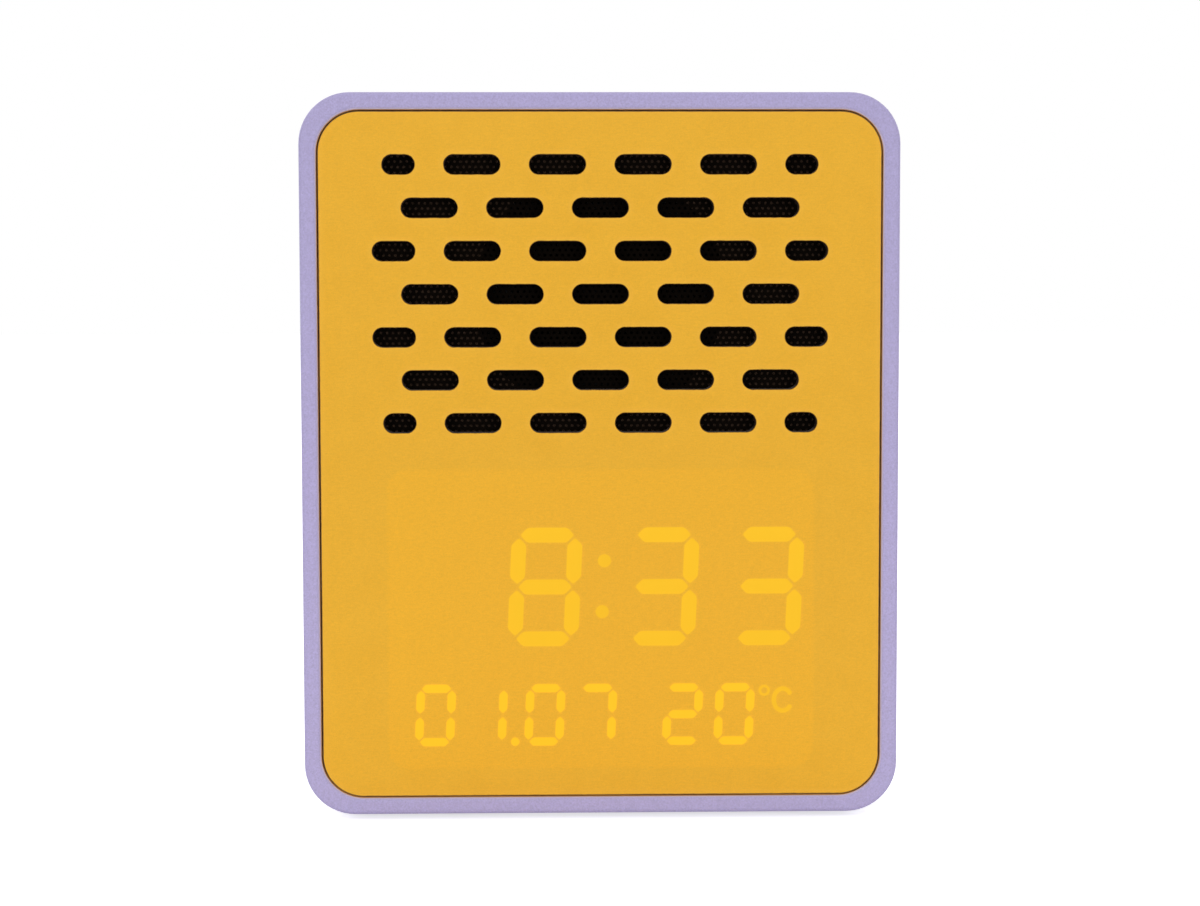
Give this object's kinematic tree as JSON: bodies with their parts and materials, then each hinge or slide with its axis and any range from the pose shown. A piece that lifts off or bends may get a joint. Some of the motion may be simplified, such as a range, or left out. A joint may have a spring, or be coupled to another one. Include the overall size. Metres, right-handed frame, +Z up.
{
  "type": "talking clock",
  "caption": "Upright talking clock: sleeve case, slotted yellow front over a loudspeaker, light display shining through the skin, rear buttons, voice switch and hinged battery door.",
  "frame": {"origin": "on the surface the feet stand on, under the middle of the case", "axes": "+Z up, +X to the right as seen from the front, the front looks towards -Y"},
  "size_m": [0.1, 0.05, 0.122],
  "materials": {
    "lilac_shell": "matte, fine grain",
    "yellow_front": "matte lacquered fibre sheet",
    "front_core": "laser-cut fibreboard",
    "baffle_board": "plain fibreboard",
    "black_mesh": "perforated, matte black",
    "black_plastic": "matte",
    "lilac_cover": "matte, fine grain",
    "button_plastic": "satin",
    "plunger_plastic": "satin",
    "rubber_feet": "soft, matte",
    "screw_steel": "zinc plated",
    "light_guide": "lit, warm yellow",
    "dark_guide": "unlit, milky",
    "display_housing": "matte",
    "circuit_green": "solder mask",
    "ribbon_grey": "flat cable",
    "gasket_foam": "foam",
    "surround_rubber": "matte",
    "cone_paper": "black pulp",
    "coil_copper": "enamelled copper",
    "spider_cloth": "resin-dipped cloth",
    "speaker_steel": "zinc, dull",
    "magnet_ferrite": "ferrite, dull",
    "contact_nickel": "nickel plated",
    "chip_black": "moulded",
    "can_metal": "drawn can",
    "socket_steel": "stamped",
    "sensor_epoxy": "dipped",
    "wire_red": "insulated",
    "wire_black": "insulated"
  },
  "bodies": {
    "case": {"shell": "lilac_shell", "feet": "rubber_feet", "front_veneer": "yellow_front", "front_board": "front_core", "speaker_mesh": "black_mesh", "baffle": "baffle_board", "baffle_screws": "screw_steel", "lit_segments": "light_guide", "dark_segments": "dark_guide", "display_block": "display_housing", "display_board": "circuit_green", "display_screws": "screw_steel", "display_ribbon": "ribbon_grey", "ribbon_plugs": "black_plastic", "speaker_gasket": "gasket_foam", "speaker_basket": "speaker_steel", "speaker_surround": "surround_rubber", "spider": "spider_cloth", "top_plate": "speaker_steel", "magnet": "magnet_ferrite", "pole_yoke": "speaker_steel", "speaker_terminals": "black_plastic", "speaker_screws": "screw_steel", "back_cover": "lilac_cover", "back_screws": "screw_steel", "battery_springs": "contact_nickel", "battery_plates": "contact_nickel", "main_board": "circuit_green", "main_board_screws": "screw_steel", "clock_chip": "chip_black", "voice_chip": "chip_black", "crystal": "can_metal", "capacitors": "can_metal", "power_socket": "socket_steel", "temperature_sensor": "sensor_epoxy", "switch_bodies": "black_plastic", "voice_switch_body": "black_plastic", "battery_lead_red": "wire_red", "battery_lead_black": "wire_black", "speaker_lead_red": "wire_red", "speaker_lead_black": "wire_black"},
    "cone": {"speaker_cone": "cone_paper", "dust_cap": "cone_paper", "voice_coil": "coil_copper"},
    "battery_door": {"battery_door": "lilac_cover"},
    "voice_switch": {"voice_switch_knob": "button_plastic"},
    "alarm_button": {"alarm_button": "button_plastic", "alarm_plunger": "plunger_plastic"},
    "set_button": {"set_button": "button_plastic", "set_plunger": "plunger_plastic"},
    "talk_button": {"talk_button": "button_plastic", "talk_plunger": "plunger_plastic"},
    "minus_button": {"minus_button": "button_plastic", "minus_plunger": "plunger_plastic"},
    "plus_button": {"plus_button": "button_plastic", "plus_plunger": "plunger_plastic"}
  },
  "joints": [
    {"name": "battery_door_hinge", "type": "hinge", "parent": "case", "child": "battery_door", "pos_m": [0, 0.0235, 0.0123], "axis": [-1, 0, 0], "range_deg": [0, 90]},
    {"name": "voice_switch_slide", "type": "slide", "parent": "case", "child": "voice_switch", "axis": [1, 0, 0], "range_m": [0, 0.002]},
    {"name": "cone_travel", "type": "slide", "parent": "case", "child": "cone", "axis": [0, -1, 0], "range_m": [-0.001, 0.001], "stiffness_N_per_m": 500, "deforming": ["speaker_surround", "spider"]},
    {"name": "alarm_press", "type": "slide", "parent": "case", "child": "alarm_button", "axis": [0, -1, 0], "range_m": [0, 0.0005], "stiffness_N_per_m": 800, "springref_m": -0.0005},
    {"name": "set_press", "type": "slide", "parent": "case", "child": "set_button", "axis": [0, -1, 0], "range_m": [0, 0.0005], "stiffness_N_per_m": 800, "springref_m": -0.0005},
    {"name": "talk_press", "type": "slide", "parent": "case", "child": "talk_button", "axis": [0, -1, 0], "range_m": [0, 0.0005], "stiffness_N_per_m": 800, "springref_m": -0.0005},
    {"name": "minus_press", "type": "slide", "parent": "case", "child": "minus_button", "axis": [0, -1, 0], "range_m": [0, 0.0005], "stiffness_N_per_m": 800, "springref_m": -0.0005},
    {"name": "plus_press", "type": "slide", "parent": "case", "child": "plus_button", "axis": [0, -1, 0], "range_m": [0, 0.0005], "stiffness_N_per_m": 800, "springref_m": -0.0005}
  ]
}
